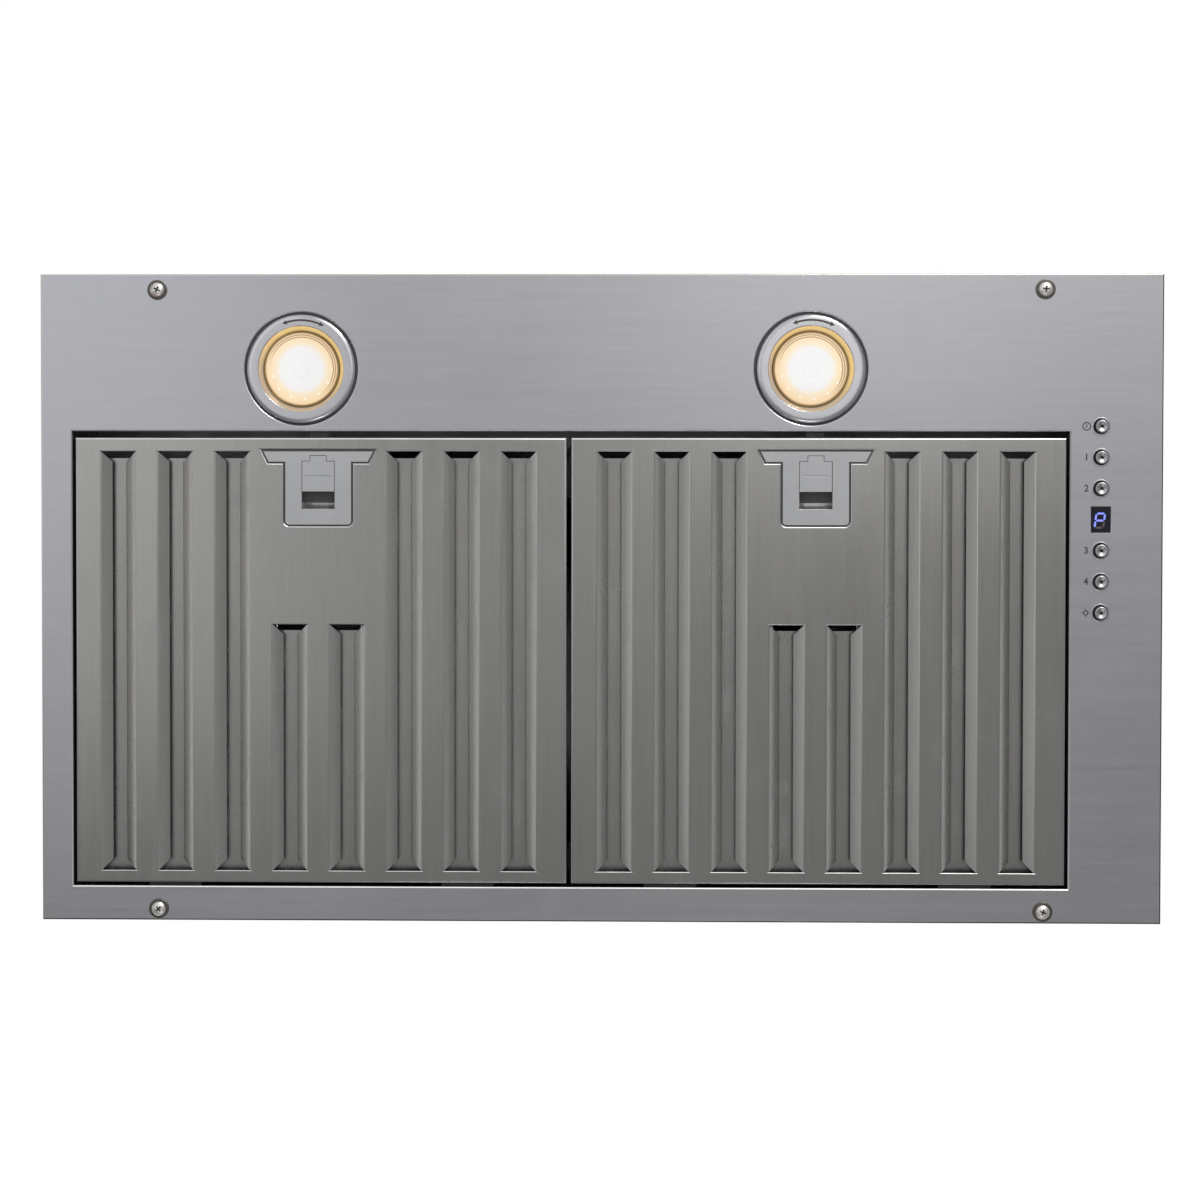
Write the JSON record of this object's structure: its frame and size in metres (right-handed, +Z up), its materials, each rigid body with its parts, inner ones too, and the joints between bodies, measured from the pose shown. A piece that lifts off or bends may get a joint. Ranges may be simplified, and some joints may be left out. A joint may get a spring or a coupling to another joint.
{
  "type": "range hood insert",
  "caption": "Stainless range hood insert with hinged baffle filters, recessed lamps, push buttons, plenum box, centrifugal blower and a round duct collar with a split damper.",
  "frame": {"origin": "middle of the panel in plan, on the plane of the body flange's upper side that seats against the cabinet", "axes": "+Z up towards the duct, -Y towards the front edge with the lamps, +X towards the push buttons"},
  "size_m": [0.724, 0.419, 0.3068],
  "materials": {
    "face_steel": "brushed, clear",
    "filter_steel": "satin, lightly smudged",
    "galvanised": "galvanised, dull spangle",
    "nickel": "nickel plated",
    "latch_grey": "light grey satin",
    "spring_steel": "drawn wire",
    "satin_ring": "satin nickel",
    "cup_black": "black enamel",
    "bulb_glass": "lit reflector lamp",
    "ceramic": "white ceramic",
    "button_chrome": "polished",
    "window_black": "glossy black",
    "black_plastic": "moulded",
    "board_green": "solder resist",
    "wheel_steel": "galvanised",
    "shaft_steel": "ground",
    "motor_grey": "painted",
    "capacitor_grey": "drawn can",
    "gland_grey": "moulded nylon"
  },
  "bodies": {
    "housing": {"face_panel": "face_steel", "screw_front_left": "nickel", "screw_front_right": "nickel", "screw_rear_left": "nickel", "screw_rear_right": "nickel", "front_wall": "galvanised", "rear_wall": "galvanised", "left_wall": "galvanised", "right_wall": "galvanised", "top_plate": "galvanised", "blower_box_front": "galvanised", "blower_box_rear": "galvanised", "blower_box_lid": "galvanised", "duct_collar": "galvanised", "damper_pin": "shaft_steel", "scroll_wrap": "galvanised", "scroll_side_left": "galvanised", "scroll_side_right": "galvanised", "motor_body": "motor_grey", "motor_bracket": "galvanised", "junction_box": "galvanised", "junction_cover": "galvanised", "cable_gland": "gland_grey", "motor_capacitor": "capacitor_grey", "lamp_cup_left": "cup_black", "lamp_cup_right": "cup_black", "lamp_bulb_left": "bulb_glass", "lamp_bulb_right": "bulb_glass", "lamp_socket_left": "ceramic", "lamp_socket_right": "ceramic", "display_window": "window_black", "display_module": "black_plastic", "control_board": "board_green", "control_box": "black_plastic"},
    "damper_front": {"damper_flap_front": "wheel_steel"},
    "damper_rear": {"damper_flap_rear": "wheel_steel"},
    "wheel": {"blower_wheel": "wheel_steel", "motor_shaft": "shaft_steel"},
    "ring_left": {"lamp_ring_left": "satin_ring"},
    "ring_right": {"lamp_ring_right": "satin_ring"},
    "button_power": {"button_power": "button_chrome"},
    "button_speed_1": {"button_speed_1": "button_chrome"},
    "button_speed_2": {"button_speed_2": "button_chrome"},
    "button_speed_3": {"button_speed_3": "button_chrome"},
    "button_speed_4": {"button_speed_4": "button_chrome"},
    "button_lamp": {"button_lamp": "button_chrome"},
    "filter_left": {"filter_front_left": "filter_steel", "filter_back_left": "filter_steel", "latch_body_left": "latch_grey", "latch_spring_left": "spring_steel"},
    "latch_left": {"latch_slider_left": "latch_grey"},
    "filter_right": {"filter_front_right": "filter_steel", "filter_back_right": "filter_steel", "latch_body_right": "latch_grey", "latch_spring_right": "spring_steel"},
    "latch_right": {"latch_slider_right": "latch_grey"}
  },
  "joints": [
    {"name": "damper_front_hinge", "type": "hinge", "parent": "housing", "child": "damper_front", "pos_m": [0, -0.01355, 0.2594], "axis": [-1, 0, 0], "range_deg": [0, 75]},
    {"name": "damper_rear_hinge", "type": "hinge", "parent": "housing", "child": "damper_rear", "pos_m": [0, -0.01355, 0.2594], "axis": [1, 0, 0], "range_deg": [0, 75]},
    {"name": "wheel_spin", "type": "hinge", "parent": "housing", "child": "wheel", "pos_m": [0, 0.065, 0.145], "axis": [1, 0, 0], "continuous": true},
    {"name": "ring_left_twist", "type": "hinge", "parent": "housing", "child": "ring_left", "pos_m": [-0.19295, -0.1484, 0], "axis": [0, 0, 1], "range_deg": [0, 25]},
    {"name": "ring_right_twist", "type": "hinge", "parent": "housing", "child": "ring_right", "pos_m": [0.13605, -0.1484, 0], "axis": [0, 0, 1], "range_deg": [0, 25]},
    {"name": "button_power_press", "type": "slide", "parent": "housing", "child": "button_power", "axis": [0, 0, 1], "range_m": [0, 0.0015], "stiffness_N_per_m": 200, "springref_m": -0.001},
    {"name": "button_speed_1_press", "type": "slide", "parent": "housing", "child": "button_speed_1", "axis": [0, 0, 1], "range_m": [0, 0.0015], "stiffness_N_per_m": 200, "springref_m": -0.001},
    {"name": "button_speed_2_press", "type": "slide", "parent": "housing", "child": "button_speed_2", "axis": [0, 0, 1], "range_m": [0, 0.0015], "stiffness_N_per_m": 200, "springref_m": -0.001},
    {"name": "button_speed_3_press", "type": "slide", "parent": "housing", "child": "button_speed_3", "axis": [0, 0, 1], "range_m": [0, 0.0015], "stiffness_N_per_m": 200, "springref_m": -0.001},
    {"name": "button_speed_4_press", "type": "slide", "parent": "housing", "child": "button_speed_4", "axis": [0, 0, 1], "range_m": [0, 0.0015], "stiffness_N_per_m": 200, "springref_m": -0.001},
    {"name": "button_lamp_press", "type": "slide", "parent": "housing", "child": "button_lamp", "axis": [0, 0, 1], "range_m": [0, 0.0015], "stiffness_N_per_m": 200, "springref_m": -0.001},
    {"name": "filter_left_hinge", "type": "hinge", "parent": "housing", "child": "filter_left", "pos_m": [-0.18045, 0.1868, -0.00105], "axis": [1, 0, 0], "range_deg": [0, 85]},
    {"name": "latch_left_slide", "type": "slide", "parent": "filter_left", "child": "latch_left", "axis": [0, 1, 0], "range_m": [0, 0.006], "stiffness_N_per_m": 300, "springref_m": -0.004, "deforming": ["latch_spring_left"]},
    {"name": "filter_right_hinge", "type": "hinge", "parent": "housing", "child": "filter_right", "pos_m": [0.14095, 0.1868, -0.00105], "axis": [1, 0, 0], "range_deg": [0, 85]},
    {"name": "latch_right_slide", "type": "slide", "parent": "filter_right", "child": "latch_right", "axis": [0, 1, 0], "range_m": [0, 0.006], "stiffness_N_per_m": 300, "springref_m": -0.004, "deforming": ["latch_spring_right"]}
  ]
}
